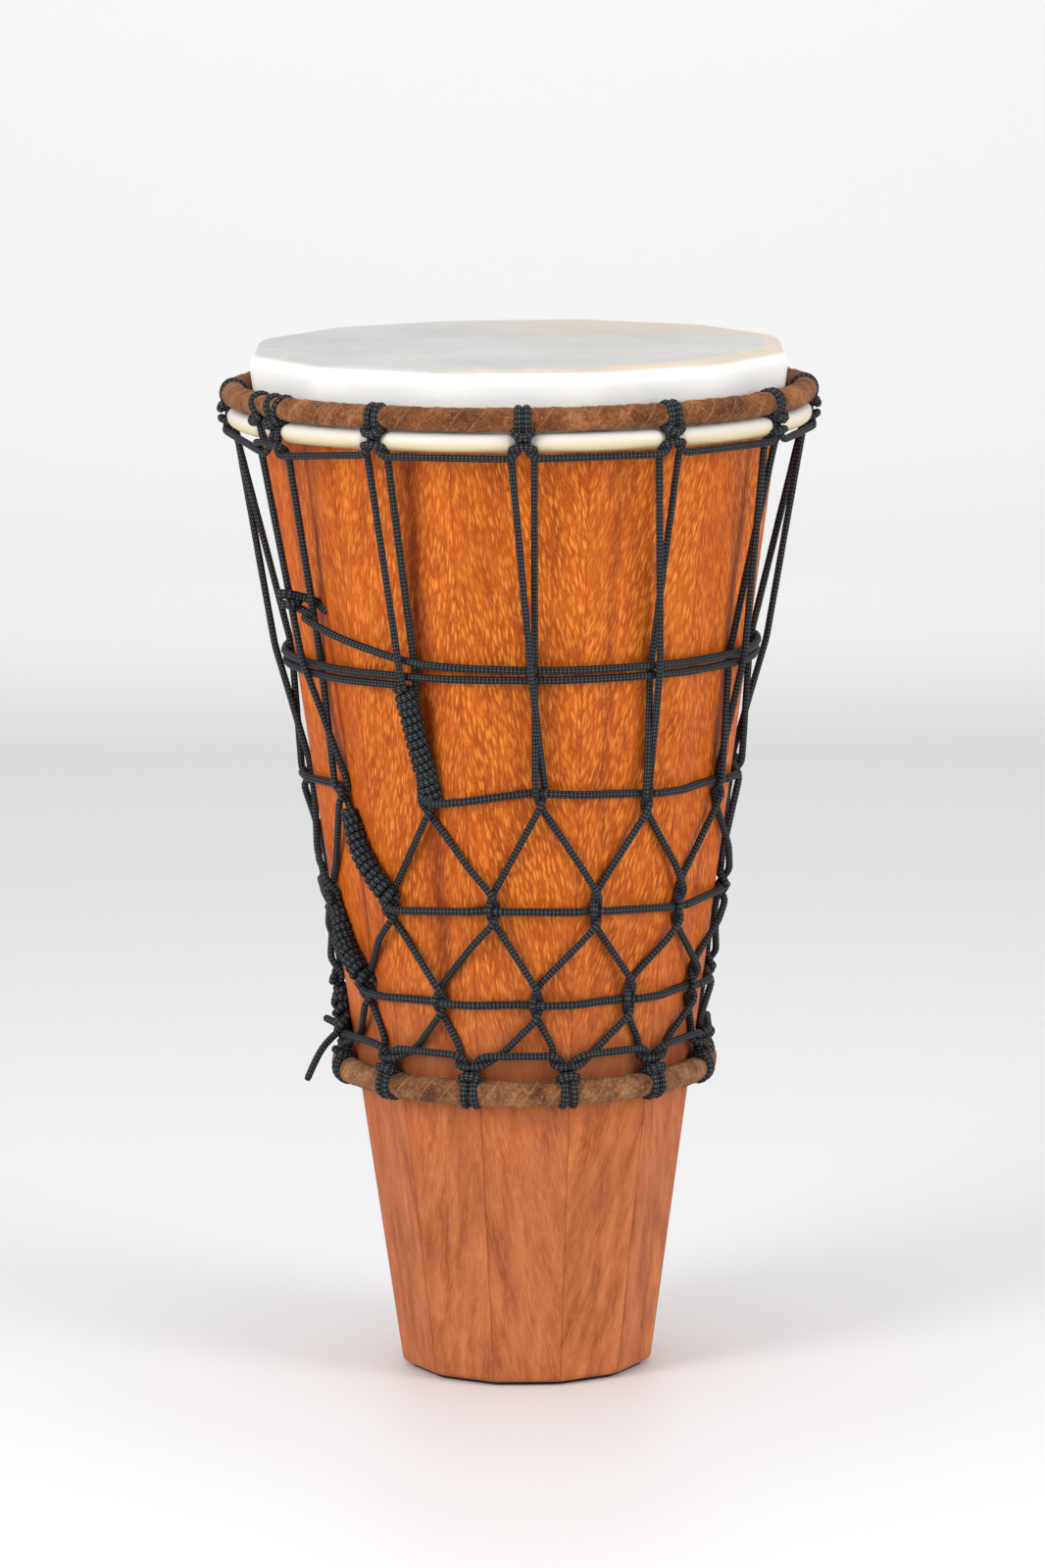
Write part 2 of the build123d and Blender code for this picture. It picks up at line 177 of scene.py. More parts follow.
def keep_values(mesh, name, values):
    layer = mesh.attributes.new(name, "FLOAT", "POINT")
    layer.data.foreach_set("value", np.asarray(values, dtype=np.float32).reshape(-1))


# ---------- rope ----------
def spline_line(points, closed=False):
    """The smooth line of a route: a NURBS spline with the route's points as its control points."""
    curve = bpy.data.curves.new("route", "CURVE")
    curve.dimensions = "3D"
    curve.resolution_u = 14
    spline = curve.splines.new("NURBS")
    spline.points.add(len(points) - 1)
    for control, point in zip(spline.points, points):
        control.co = (*point, 1.0)
    spline.order_u = 3
    if closed:
        spline.use_cyclic_u = True
    else:
        spline.use_endpoint_u = True
    holder = bpy.data.objects.new("route", curve)
    mesh = bpy.data.meshes.new_from_object(holder)
    line = np.array([v.co[:] for v in mesh.vertices])
    bpy.data.meshes.remove(mesh)
    bpy.data.objects.remove(holder)
    bpy.data.curves.remove(curve)
    return line


def evenly(line, spacing, closed=False):
    if closed:
        line = np.vstack([line, line[:1]])
    steps = np.linalg.norm(np.diff(line, axis=0), axis=1)
    keep = np.concatenate([[True], steps > 1e-6])
    line = line[keep]
    steps = steps[steps > 1e-6]
    along = np.concatenate([[0], np.cumsum(steps)])
    count = max(2, round(along[-1] / spacing)) + 1
    wanted = np.linspace(0, along[-1], count)
    even = np.stack([np.interp(wanted, along, line[:, i]) for i in range(3)], axis=1)
    return even[:-1] if closed else even


def settled(line, radius):
    """The line with each point that is inside the shell pushed out until the rope rests on it."""
    theta = np.degrees(np.arctan2(line[:, 0], -line[:, 1]))
    r = np.hypot(line[:, 0], line[:, 1])
    floor = np.array([shell_radius(t, z) + radius for t, z in zip(theta, line[:, 2])])
    out = line.copy()
    short = np.maximum(r, floor) / r
    out[:, 0] *= short
    out[:, 1] *= short
    return out


def smoothed(line, rounds, closed=False):
    for _ in range(rounds):
        before = np.roll(line, 1, axis=0)
        after = np.roll(line, -1, axis=0)
        mean = line * 0.5 + (before + after) * 0.25
        if not closed:
            mean[0], mean[-1] = line[0], line[-1]
        line = mean
    return line


def frames(line, closed=False):
    """Unit vectors across the line, carried along it without twisting."""
    tangents = np.roll(line, -1, axis=0) - np.roll(line, 1, axis=0)
    if not closed:
        tangents[0], tangents[-1] = line[1] - line[0], line[-1] - line[-2]
    tangents /= np.linalg.norm(tangents, axis=1, keepdims=True)
    side = np.cross(tangents[0], (0.0, 0.0, 1.0))
    if np.linalg.norm(side) < 0.1:
        side = np.cross(tangents[0], (1.0, 0.0, 0.0))
    across = np.empty_like(line)
    for i, tangent in enumerate(tangents):
        side = side - tangent * np.dot(side, tangent)
        side /= np.linalg.norm(side)
        across[i] = side
    return across, np.cross(tangents, across)


AROUND = 24  # points round the rope
PLAITS = 4  # strands seen round it in each direction
PLAIT_LENGTH = 4.6
SPACING = 0.62  # between the rings of points along it
END_SHARES = (0.55, 0.8, 0.93)  # how the last rings draw in


def rope_mesh(name, line, diameter, closed=False, spacing=SPACING, swell=None):
    """A braided rope along a line: two sets of strands that cross, each bulging where it is on top."""
    line = evenly(line, spacing, closed)
    across, up = frames(line, closed)
    along = np.arange(len(line)) * spacing
    angle = np.linspace(0, 2 * math.pi, AROUND, endpoint=False)
    s, phi = np.meshgrid(along, angle, indexing="ij")
    turn_a = PLAITS * phi / (2 * math.pi) + s / PLAIT_LENGTH
    turn_b = PLAITS * phi / (2 * math.pi) - s / PLAIT_LENGTH
    wave = np.cos(2 * math.pi * turn_a) * np.cos(2 * math.pi * turn_b)
    relief = 0.5 + 0.5 * wave
    radius = diameter / 2 * (0.86 + 0.19 * relief)
    lumps = 1 + 0.015 * np.sin(along / 7.0 + len(line)) + 0.01 * np.sin(along / 2.9)
    radius *= lumps[:, None]
    if swell:
        radius *= np.interp(line[:, 2], *swell)[:, None]
    if not closed:
        for end, flip in ((0, 1), (-1, -1)):
            for k, share in enumerate(END_SHARES):
                radius[end + flip * k] *= share
    rings = (line[:, None, :] + across[:, None, :] * (np.cos(phi) * radius)[..., None]
             + up[:, None, :] * (np.sin(phi) * radius)[..., None])
    mesh = grid_mesh(name, rings, closed_along=closed)
    keep_values(mesh, "relief", relief)
    return mesh


def laid_rope(name, points, diameter, closed=False, spacing=SPACING, swell=None):
    line = evenly(spline_line(points, closed), 1.2, closed)
    line = settled(line, diameter / 2)
    line = smoothed(line, 3, closed)
    line = settled(line, diameter / 2 - 0.15)
    return rope_mesh(name, line, diameter, closed, spacing, swell)


def mirrored(half):
    """A knot from its left half, whose last point is in the middle."""
    return half + [(-u, z, r) for u, z, r in reversed(half[:-1])]


# The left half of a knot on the crown ring: how far right of the middle, height and radius.
UPPER_KNOT = [
    (-10.2, CHORD_Z, 168.8), (-7.6, CHORD_Z + 0.1, 169.2), (-4.8, 553.0, 169.4), (-2.7, 556.2, 168.2),
    (-1.9, 559.6, 167.0), (-2.0, 564.4, 167.6),
    (-2.3, CROWN_Z - 3.0, CROWN_R + 5.8), (-2.3, CROWN_Z + 1.6, CROWN_R + 6.4),
    (-2.3, CROWN_Z + 5.6, CROWN_R + 3.6), (-2.3, CROWN_Z + 6.4, CROWN_R - 1.2),
    (-2.4, CROWN_Z + 3.8, CROWN_R - 5.4), (-2.8, CROWN_Z - 1.0, CROWN_R - 6.4),
    (-3.4, CROWN_Z - 5.2, CROWN_R - 4.2), (-4.4, CROWN_Z - 6.8, CROWN_R + 0.8),
    (-4.8, 567.4, CROWN_R + 6.4), (-3.5, 564.2, CROWN_R + 7.6), (0.0, 563.6, CROWN_R + 7.9),
]
DOUBLED = 10  # the knot that the closing loop makes a double one
REGULAR_AT, CLOSING_AT = 12.4, -4.0  # its two loops, to the right of the other knots' place
SPREAD = (-0.5, -2.2, -3.4, -3.4, -3.0, -2.0, -0.8)  # how far its strands are moved on the ring
SAG, SAG_OUT = 4.4, 0.8  # how far the chord beside it hangs down and out
LEG_LEFT, LEG_RIGHT = -10.6, 21.4  # the legs of the tension rope below it
ARCH_LEFT, ARCH_RIGHT, ARCH_DROP = -3.4, 22.0, 4.8  # the ends of the arch between them, and how low it is
KNOT_SHIFT = {11: 1.2, 2: -2.2}


def crown_knot(n):
    """The direction of one knot on the crown ring; two of them have slipped a little."""
    return n * STEP + KNOT_TURN + turn_of(KNOT_SHIFT.get(n, 0.0), CROWN_R)


def upper_cradle_points():
    points = []
    for n in range(SIDES):
        half, turn = list(UPPER_KNOT), crown_knot(n)
        if n == DOUBLED:
            turn += turn_of(REGULAR_AT, CROWN_R)
            half[:3] = [(u, z - SAG, r + SAG_OUT) for u, z, r in half[:3]]
            for k, more in enumerate(SPREAD):
                u, z, r = half[6 + k]
                half[6 + k] = (u + more, z, r)
        points += [beside(turn, u, z, r) for u, z, r in mirrored(half)]
    return points


def closing_loop_points():
    """A single turn round the crown ring whose bar crosses in front of its own strand."""
    start = [(2.8, 552.6, 168.8), (-0.6, 557.0, 168.4), (-3.4, 561.0, 167.8), (-3.8, 564.4, 168.0)]
    leans = (-3.0, -6.5, -8.0, -8.0, -7.0, -5.0)
    turn = [(u + lean, z, r) for (u, z, r), lean in zip(UPPER_KNOT[6:12], leans)]
    tuck = [
        (-6.6, CROWN_Z - 5.2, CROWN_R - 4.2), (-8.4, CROWN_Z - 6.8, CROWN_R + 0.6),
        (-8.6, 566.8, CROWN_R + 6.4), (-6.4, 564.2, CROWN_R + 8.0), (-1.4, 564.4, CROWN_R + 8.2),
        (2.4, 567.4, CROWN_R + 7.8),
    ]
    centre = DOUBLED * STEP + KNOT_TURN
    return [beside(centre, u, z, r) for u, z, r in start + turn + tuck]


def close(u, z, gap):
    """A point of a lower knot at a distance from the shell, to the right of the knot's middle."""
    theta = LOW_KNOT_TURN + turn_of(u, LOWER_R)
    return theta, z, shell_radius(theta, z) + gap


def lower_knot():
    waist = [
        (-14.0, LOW_CHORD_Z, 7.4), (-10.4, LOW_CHORD_Z + 0.2, 7.8), (-7.0, LOW_CHORD_Z - 0.6, 7.4),
        (-3.8, 198.8, 4.4), (-2.2, 195.2, 3.2),
    ]
    front = [
        (-2.2, 190.0, LOWER_R + 2.4), (-2.4, LOWER_Z + 4.9, LOWER_R + 5.8),
        (-2.6, LOWER_Z - 0.7, LOWER_R + 7.6), (-2.9, LOWER_Z - 5.8, LOWER_R + 4.9),
        (-3.1, LOWER_Z - 7.8, LOWER_R - 0.9),
    ]
    behind = [(-3.6, 176.0, 2.4), (-3.6, 184.0, 2.4)]
    bar = [
        (-4.2, LOWER_Z + 8.4, LOWER_R - 1.0), (-4.9, 188.8, LOWER_R + 5.2), (-3.9, 190.6, LOWER_R + 6.9),
        (0.0, 191.2, LOWER_R + 7.4),
    ]
    left, right = [], []
    for side, sign in ((left, 1), (right, -1)):
        side += [close(sign * u, z, gap) for u, z, gap in waist]
        side += [(LOW_KNOT_TURN + sign * turn_of(u, LOWER_R), z, r) for u, z, r in front]
        side += [close(sign * u, z, gap) for u, z, gap in behind]
        side += [(LOW_KNOT_TURN + sign * turn_of(u, LOWER_R), z, r) for u, z, r in bar]
    return left + right[-2::-1]


def lower_cradle_points():
    return [at(n * STEP + t, z, r) for n in range(SIDES) for t, z, r in lower_knot()]


def slipped(row, n):
    """A crossing's turn from its stave's middle, and how far it is above its row."""
    turn, lift = ROW_SLIPS.get((row, n % SIDES), (0.0, 0.0))
    return ROW_TURN[row] + turn, lift


def node_points(row, theta, lift, over, first=0, last=3):
    """A strand's crossing above a weave row, its place in the row and its crossing below."""
    z = ROW_Z[row] + lift
    side = turn_of(TWIST, shell_radius(theta, z) + LOW_GAP)
    crossing, middle, shift = HIGH_CROSS, LOW_CROSS, side
    if not over:
        crossing, middle, shift = LOW_CROSS, HIGH_CROSS, -side
    points = [
        (theta, z + TWIST_UP, crossing),
        (theta + shift, z, middle),
        (theta, z - TWIST_DOWN, crossing),
    ]
    return points[first:last]


def with_corners(points):
    """Add a point wherever the line crosses a long edge of the shell, held off that edge."""
    out = [points[0]]
    for (t0, z0, g0), (t1, z1, g1) in zip(points, points[1:]):
        low, high = sorted((t0, t1))
        edge = (low - HALF) // STEP * STEP + HALF + STEP
        edges = []
        while edge < high:
            if low + 1.5 < edge < high - 1.5:
                edges.append(edge)
            edge += STEP
        for e in edges if t1 > t0 else reversed(edges):
            part = (e - t0) / (t1 - t0)
            out.append((e, z0 + (z1 - z0) * part, max(CORNER_GAP, g0 + (g1 - g0) * part)))
        out.append((t1, z1, g1))
    return out


# The strands that a coil is wound on, and the place where each is lifted off the shell for it.
LIFTED = {
    (11, "left"): (3.9, 376.0, 6.0),
    (10, "right"): (11.4, 318.0, 6.0),
    (10, "left"): (-4.8, 257.0, 6.2),
    (9, "right"): (9.2, 214.5, 5.9),
}
# The strands that pass the belt further left, in degrees.
BELT_SHIFT = {(10, "left"): -4.5, (10, "right"): -2.5, (11, "left"): -1.9, (0, "left"): -1.0}


def straightened(points, reach):
    """Points added beside each corner of a route, so that its line stays straight until there."""
    points = [np.array(p) for p in points]
    out = [points[0]]
    for before, here, after in zip(points, points[1:], points[2:]):
        for other in (before, after):
            leg = other - here
            length = np.linalg.norm(leg)
            out.append(here + leg * min(reach / length, 0.42))
            if other is before:
                out.append(here)
    out.append(points[-1])
    return [tuple(p) for p in out]


def strand_points(n, side):
    """One strand from a knot on the crown ring down to a knot on the lower ring."""
    left = side == "left"
    sign = -1 if left else 1
    leg, arch, drop = 6.4, 5.0, 0.0
    if n == DOUBLED:
        drop = ARCH_DROP
        leg = -LEG_LEFT if left else LEG_RIGHT
        arch = -ARCH_LEFT if left else ARCH_RIGHT
    hook = [
        (arch, 557.8 - drop, 171.6),
        ((leg + arch) / 2 + 1.0, 556.4 - drop, 167.0),
        (leg, 551.2 - drop, 163.8),
    ]
    belt = (BELT_TURN + BELT_SHIFT.get((n, side), 0.0), BELT_Z - 2.0, TOP_GAP if left else LOW_GAP)
    way = [belt] + node_points(0, *slipped(0, n), left, first=1)
    if left:
        way += node_points(1, *slipped(1, n), False) + node_points(2, *slipped(2, n), True)
        knot = LOW_KNOT_TURN
    else:
        turn, lift = slipped(1, n + 1)
        way += node_points(1, turn + STEP, lift, True) + node_points(2, *slipped(2, n), False)
        knot = LOW_KNOT_TURN + STEP
    if (n, side) in LIFTED:
        way.append(LIFTED[n, side])
        way.sort(key=lambda p: -p[1])
    low_end = [(17.5, LOW_CHORD_Z + 0.8, 2.0), (11.0, 198.8, 4.8), (6.2, 196.0, 8.0)]
    if not left:
        low_end = [(7.4, LOW_CHORD_Z + 3.4, 1.6), (8.1, 196.6, 4.2), (5.6, 195.4, 8.4)]
    for u, z, gap in low_end:
        way.append((knot - sign * turn_of(u, LOW_STRAND_R), z, gap))
    top = [beside(crown_knot(n), sign * u, z, r) for u, z, r in hook]
    return top + [on_shell(n * STEP + t, z, g) for t, z, g in with_corners(way)]


def run_points(n):
    middle = (ARCH_LEFT + ARCH_RIGHT) / 2 if n == DOUBLED else 0.0
    drop = ARCH_DROP if n == DOUBLED else 0.0
    crest = [beside(crown_knot(n), middle, 558.8 - drop, 172.4)]
    dips = [on_shell(n * STEP + LOW_KNOT_TURN + turn, 195.2, 8.4) for turn in (0, STEP)]
    left, right = strand_points(n, "left"), strand_points(n, "right")
    return straightened([dips[0]] + left[::-1] + crest + right + [dips[1]], 7.0)


def belt_height(theta):
    return BELT_Z - BELT_FALL * theta / 360


BELT_END = 2 * 360 - STEP + 1.6  # almost two rounds


def belt_points():
    points = [
        (-57.4, 452.8, 13.0), (-55.6, 450.2, 12.2), (-45.0, 441.6, CORNER_GAP + 1.6),
        (-STEP + 3.2, 431.4, HIGH_GAP), (-HALF, 429.8, CORNER_GAP),
    ]
    theta = BELT_TURN
    while theta < BELT_END - 3:
        points.append((theta, belt_height(theta), HIGH_GAP))
        points.append((theta - BELT_TURN + HALF, belt_height(theta + HALF), CORNER_GAP))
        theta += STEP
    points.append((BELT_END, belt_height(BELT_END) + 0.4, HIGH_GAP + 0.6))
    return [on_shell(*p) for p in points]


ROW_START = (-1, -1, -2)  # the stave at which each row begins
ROW_SPANS = SIDES - 1
ROW_SLIPS = {  # crossings that are off their row, by degrees and millimetres
    (0, 11): (0.0, -3.2), (0, 0): (0.0, 4.2), (1, 0): (1.6, 3.2), (1, 1): (0.8, 1.6), (1, 2): (-0.3, -1.4),
}


def row_points(row):
    start = ROW_START[row]
    points = []
    for n in range(start, start + ROW_SPANS + 1):
        turn, lift = slipped(row, n)
        theta, z = n * STEP + turn, ROW_Z[row] + lift
        side = turn_of(TWIST, shell_radius(theta, z) + LOW_GAP)
        if n == start:
            points.append((theta - side * 0.5, z + 5.0, HIGH_CROSS + 2.0))
        else:
            points.append((theta - side, z, LOW_CROSS))
        points.append((theta + side, z, HIGH_CROSS))
    points.append((theta + side * 1.6, z - 5.0, HIGH_CROSS + 1.0))
    return straightened([on_shell(*p) for p in with_corners(points)], 4.0)


# ---------- rope pieces ----------
# Heights, and how thick the cradle ropes are there: the knots are slacker, and so thicker, than the chords.
UPPER_SWELL = ((553.5, 562.0), (0.93, 1.12))
LOWER_SWELL = ((193.0, 201.0), (1.10, 0.95))


def build_cradles(material):
    upper = laid_rope("upper_cradle_rope", upper_cradle_points(), SOFT, True, 0.7, UPPER_SWELL)
    finished("upper_cradle", upper, material, "rope", "upper_cradle_rope")
    lower = laid_rope("lower_cradle_rope", lower_cradle_points(), SOFT, True, swell=LOWER_SWELL)
    finished("lower_cradle", lower, material, "rope", "lower_cradle_rope")
    loop = laid_rope("closing_loop", closing_loop_points(), SOFT, swell=UPPER_SWELL)
    finished("closing_loop", loop, material, "rope", "cradle_closing_loop")


def build_runs(material):
    for n in range(SIDES):
        node = f"tension_rope_run_{n + 1:02}"
        mesh = laid_rope(node, run_points(n), TAUT)
        finished(f"run_{n + 1:02}", mesh, material, "rope", node)


def build_belt_and_rows(material):
    finished("belt", laid_rope("belt", belt_points(), SOFT), material, "rope", "belt_rope")
    for row in range(len(ROW_Z)):
        node = f"weave_row_{row + 1}"
        mesh = laid_rope(node, row_points(row), SOFT)
        finished(f"row_{row + 1}", mesh, material, "rope", node)


# ---------- coils and knots ----------
COIL_PITCH = 4.75
COILS = {  # stave and side of the strand, and the heights it is wound between
    "rope_coil_1": (11, "left", 419.0, 349.0),
    "rope_coil_2": (10, "right", 341.0, 290.0),
    "rope_coil_3": (10, "left", 281.0, 237.0),
    "rope_coil_4": (9, "right", 222.0, 206.0),
}


def strand_line(n, side):
    """The settled middle of one strand, from the top down."""
    line = evenly(spline_line(run_points(n)), 1.2)
    crest = int(np.argmax(line[:, 2]))
    half = line[:crest + 1][::-1] if side == "left" else line[crest:]
    return smoothed(settled(half, TAUT / 2), 3)


def wound_line(line, high, low, pitch, lean, seed):
    """A helix round a stretch of a falling line, between two heights."""
    stretch = line[(line[:, 2] <= high) & (line[:, 2] >= low)]
    stretch = evenly(stretch, 0.25)
    across, up = frames(stretch)
    length = 0.25 * (len(stretch) - 1)
    along = np.linspace(0, length, len(stretch))
    rng = np.random.default_rng(seed)
    wobble = np.interp(along, np.linspace(0, length, 12), rng.normal(0, 0.5, 12))
    angle = 2 * math.pi * along / pitch + wobble * 0.5 + lean
    radius = (TAUT + SOFT) / 2 * 0.97 + 0.12 * np.sin(angle * 0.37 + seed)
    helix = stretch + across * (np.cos(angle) * radius)[:, None] + up * (np.sin(angle) * radius)[:, None]
    return helix


def build_coils(material):
    for count, (name, (n, side, high, low)) in enumerate(COILS.items()):
        line = wound_line(strand_line(n, side), high, low, COIL_PITCH, 0.6 * count, count + 3)
        line = settled(line, SOFT / 2 - 0.3)
        mesh = rope_mesh(name, line, SOFT)
        finished(f"coil_{count + 1}", mesh, material, "rope", name)


HITCH_ROPE = 5.0
HITCH_START = (0.6, 4.4, 451.6)  # each point: how far right of the strand, how far in front of it, its height
HITCH_TURNS = [
    (6.2, 2.6, 455.6), (1.5, -3.4, 456.8), (-3.6, -2.6, 458.2), (-5.4, 1.8, 458.8), (-1.0, 5.6, 459.2),
    (4.8, 3.4, 460.4), (5.6, -1.8, 461.6), (0.5, -4.4, 462.6), (-4.6, -2.4, 464.0), (-5.6, 2.0, 465.2),
    (-0.6, 5.4, 465.4), (4.8, 2.4, 463.8),
]
HITCH_END = [(1.6, -4.2, 461.0), (5.0, -3.4, 457.6), (7.4, 0.4, 455.4), (8.6, 1.4, 454.4)]


def beside_strand(line, right, front, z):
    """A point next to a strand's line at a height."""
    base = [np.interp(z, line[::-1, 2], line[::-1, i]) for i in range(3)]
    return base[0] + right, base[1] - front, base[2]


def build_hitch(material):
    """The belt's upper end: twice round one strand, then out behind the next one."""
    left, right = strand_line(10, "left"), strand_line(10, "right")
    points = [beside_strand(right, *HITCH_START)]
    points += [beside_strand(left, *place) for place in HITCH_TURNS]
    points += [beside_strand(right, *place) for place in HITCH_END]
    mesh = rope_mesh("belt_hitch", evenly(spline_line(points), 0.6), HITCH_ROPE)
    finished("belt_hitch", mesh, material, "rope", "belt_knot")


END_KNOT = at(-75.0, 205.5, 110.2)
LOBE, LOBE_DEPTH, KNOT_SIZE, KNOT_TURNED, KNOT_POINTS = 2.6, 3.4, 0.62, -75, 18
TAIL, TAIL_LENGTH = 4.4, 35.0
TAIL_ROUTE = [
    at(-74.0, 203.0, 112.0), (-114.5, -33.5, 197.5), (-121.0, -35.5, 188.0), (-126.5, -36.5, 175.0),
]


def build_end_knot(material):
    """A figure of three lobes, pulled tight."""
    points = []
    for k in range(KNOT_POINTS):
        t = 2 * math.pi * k / KNOT_POINTS
        x = LOBE * (math.sin(t) + 2 * math.sin(2 * t))
        y = LOBE * (math.cos(t) - 2 * math.cos(2 * t))
        z = -LOBE_DEPTH * math.sin(3 * t)
        points.append((x * KNOT_SIZE, z * KNOT_SIZE, y * KNOT_SIZE))
    turned = Matrix.Rotation(math.radians(KNOT_TURNED), 3, "Z")
    route = [tuple(turned @ Vector(p) + Vector(END_KNOT)) for p in points]
    knot = rope_mesh("knot", spline_line(route, True), SOFT, closed=True)
    stub = [END_KNOT, at(-77.0, 208.0, 114.5), at(-79.0, 209.6, 118.4)]
    stub = rope_mesh("stub", evenly(spline_line(stub), 0.6), SOFT)
    finished("end_knot_rope", joined("end_knot_rope", [knot, stub]), material, "rope", "end_knot")


def build_tail(material):
    line = spline_line(TAIL_ROUTE)
    piece = finished("tail", rope_mesh("tail", line, TAIL), material, "rope", "rope_tail")


# ---------- skin and wrapped rings ----------
def soft_noise(points, scale, seed):
    """Smooth noise, from -1 to 1, at each of an array of points in millimetres."""
    flat = points.reshape(-1, 3) / scale + seed
    return np.array([noise.noise(Vector(p)) for p in flat]).reshape(points.shape[:-1])


def around_points(thetas, z, r):
    """A ring of points at one height, or at one height for each direction."""
    t = np.radians(thetas)
    return np.stack([r * np.sin(t), -r * np.cos(t), np.broadcast_to(z, t.shape)], axis=-1)


def knot_places(turn, shift=True):
    """The directions of the knots on a ring, in degrees."""
    places = []
    for n in range(SIDES):
        places.append(n * STEP + turn)
        if shift and n == DOUBLED:
            places[-1] += turn_of(REGULAR_AT, CROWN_R)
            places.append(n * STEP + turn + turn_of(CLOSING_AT, CROWN_R))
    return places


def pinch(thetas, places, width):
    """1 at each knot and falling to 0 at a width in degrees from it."""
    near = np.full(len(thetas), 999.0)
    for place in places:
        off = np.abs((thetas - place + 180) % 360 - 180)
        near = np.minimum(near, off)
    return np.clip(1 - near / width, 0, 1)


SKIN = 0.9
SKIN_COLUMNS = 720
HEAD_EDGE = 9.0  # how round the head's edge is
TOP_SHARES = (0.004, 0.1, 0.2, 0.3, 0.4, 0.5, 0.6, 0.7, 0.78, 0.85, 0.90, 0.94, 0.97)
SKIRT_Z = (589.0, 586.0, 583.0, 580.0, 577.0, 574.0, 571.0, 568.5)


def rounded_rim(thetas, z):
    """The shell's outline at a height with the skin on it, its corners softened."""
    rim = np.array([shell_radius(t, z, SKIN) for t in thetas])
    return smoothed(rim[:, None], 6, True)[:, 0]


def sheet_rows(thetas, inset):
    """Rows of the skin, radius and height, from the middle of the head to the foot of its skirt."""
    rim = rounded_rim(thetas, HEIGHT - HEAD_EDGE)
    level = np.ones_like(rim)
    rows = [(share * (rim - HEAD_EDGE), (HEIGHT - inset) * level) for share in TOP_SHARES]
    edge = HEAD_EDGE - inset
    for angle in range(0, 91, 10):
        a = math.radians(angle)
        rows.append((rim - HEAD_EDGE + edge * math.sin(a), (HEIGHT - HEAD_EDGE + edge * math.cos(a)) * level))
    rows += [(rounded_rim(thetas, z) - inset, z * level) for z in SKIRT_Z]
    return rows


def build_skin(material):
    """One sheet: over the head, down the shell, and round the flesh hoop in a roll pinched at the knots."""
    thetas = np.arange(SKIN_COLUMNS) * 360 / SKIN_COLUMNS
    pinched = pinch(thetas, knot_places(KNOT_TURN), 2.6) ** 0.55
    outer = sheet_rows(thetas, 0.0)
    roll = ROLL_TUBE / 2 * (1 - 0.34 * pinched)
    for angle in range(120, -151, -15):
        a = math.radians(angle)
        squash = 1.0 if angle < 60 else 0.9
        outer.append((ROLL_R + roll * math.cos(a) - 0.6 * pinched, ROLL_Z + roll * squash * math.sin(a)))
    lip = (ROLL_R - roll * 0.9 - 0.2, np.full_like(roll, ROLL_Z + 4.0))
    rows = outer + [lip] + sheet_rows(thetas, SKIN)[::-1]
    rings = np.stack([around_points(thetas, z, r) for r, z in rows])
    wobble = soft_noise(rings, 22.0, 4.0) * 0.25 + soft_noise(rings, 7.0, 9.0) * 0.10
    t = np.radians(thetas)
    top = len(TOP_SHARES) + 1
    for k in range(len(rows)):
        if k < top or k >= len(rows) - top:
            rings[k, :, 2] += np.minimum(wobble[k], 0.0) * 0.5
        elif k < len(outer):
            rings[k, :, 0] += np.sin(t) * wobble[k]
            rings[k, :, 1] -= np.cos(t) * wobble[k]
    finished("drumhead", grid_mesh("drumhead", rings), material, "skin", "drumhead_skin")


WRAP_COLUMNS, WRAP_AROUND = 1500, 44
# The suede strip: its width, how far its edges slant, how high they stand and how soon that falls away.
STRIP_WIDTH, STRIP_LEAN, STRIP_STEP, STRIP_FALL = 14.0, 5.5, 0.5, 9.0


def strip_steps(t, a, radius, seed):
    """How far each strip's edge stands up from the turn below it, falling away over a few millimetres."""
    strip = turn_of(STRIP_WIDTH, radius)
    turns = int(360 / strip)
    rng = np.random.default_rng(seed)
    edges = (np.arange(turns) + rng.uniform(-0.22, 0.22, turns)) * strip
    lean = np.sin(a) * turn_of(STRIP_LEAN, radius)
    fall = turn_of(STRIP_FALL, radius)
    step = np.zeros_like(a)
    for edge in edges:
        off = (t - edge - lean + 180) % 360 - 180
        step += np.where((off > 0) & (off < fall), STRIP_STEP * (1 - off / fall) ** 2, 0)
    return step


def wrapped_ring(name, ring, places, seed, material, slot, replaced):
    """A ring bound in a strip of suede: its turns overlap at a slant, and it is squeezed at the knots."""
    radius, z, tube = ring
    thetas = np.arange(WRAP_COLUMNS) * 360 / WRAP_COLUMNS
    squeezed = pinch(thetas, places, turn_of(7.0, radius)) ** 0.7
    angle = np.linspace(0, 2 * math.pi, WRAP_AROUND, endpoint=False)
    t, a = np.meshgrid(thetas, angle, indexing="ij")

    def surface(r, size):
        radians = np.radians(t)
        return np.stack([r * np.sin(radians), -r * np.cos(radians), z + size * np.sin(a)], axis=-1)

    size = tube / 2 * (1 - 0.10 * squeezed[:, None]) * np.ones_like(a)
    middle = surface(radius + size * np.cos(a), size)
    step = strip_steps(t, a, radius, seed)
    rough = soft_noise(middle, 9.0, seed) * 0.45 + soft_noise(middle, 3.2, seed + 5) * 0.22
    size = size + step - 0.35 + rough
    shell = np.array([[shell_radius(theta, z, 0.1)] for theta in thetas])
    r = np.maximum(radius + size * np.cos(a), shell)
    mesh = grid_mesh(name, surface(r, size), closed_along=True)
    keep_values(mesh, "step", step)
    finished(name, mesh, material, slot, replaced)


# ---------- materials ----------
def material_with(name):
    material = bpy.data.materials.new(name)
    material.use_nodes = True
    tree = material.node_tree
    shader = tree.nodes["Principled BSDF"]
    return material, tree, shader


def link(tree, source, target):
    tree.links.new(source, target)


def set_inputs(node, values):
    for name, value in values.items():
        node.inputs[name].default_value = value


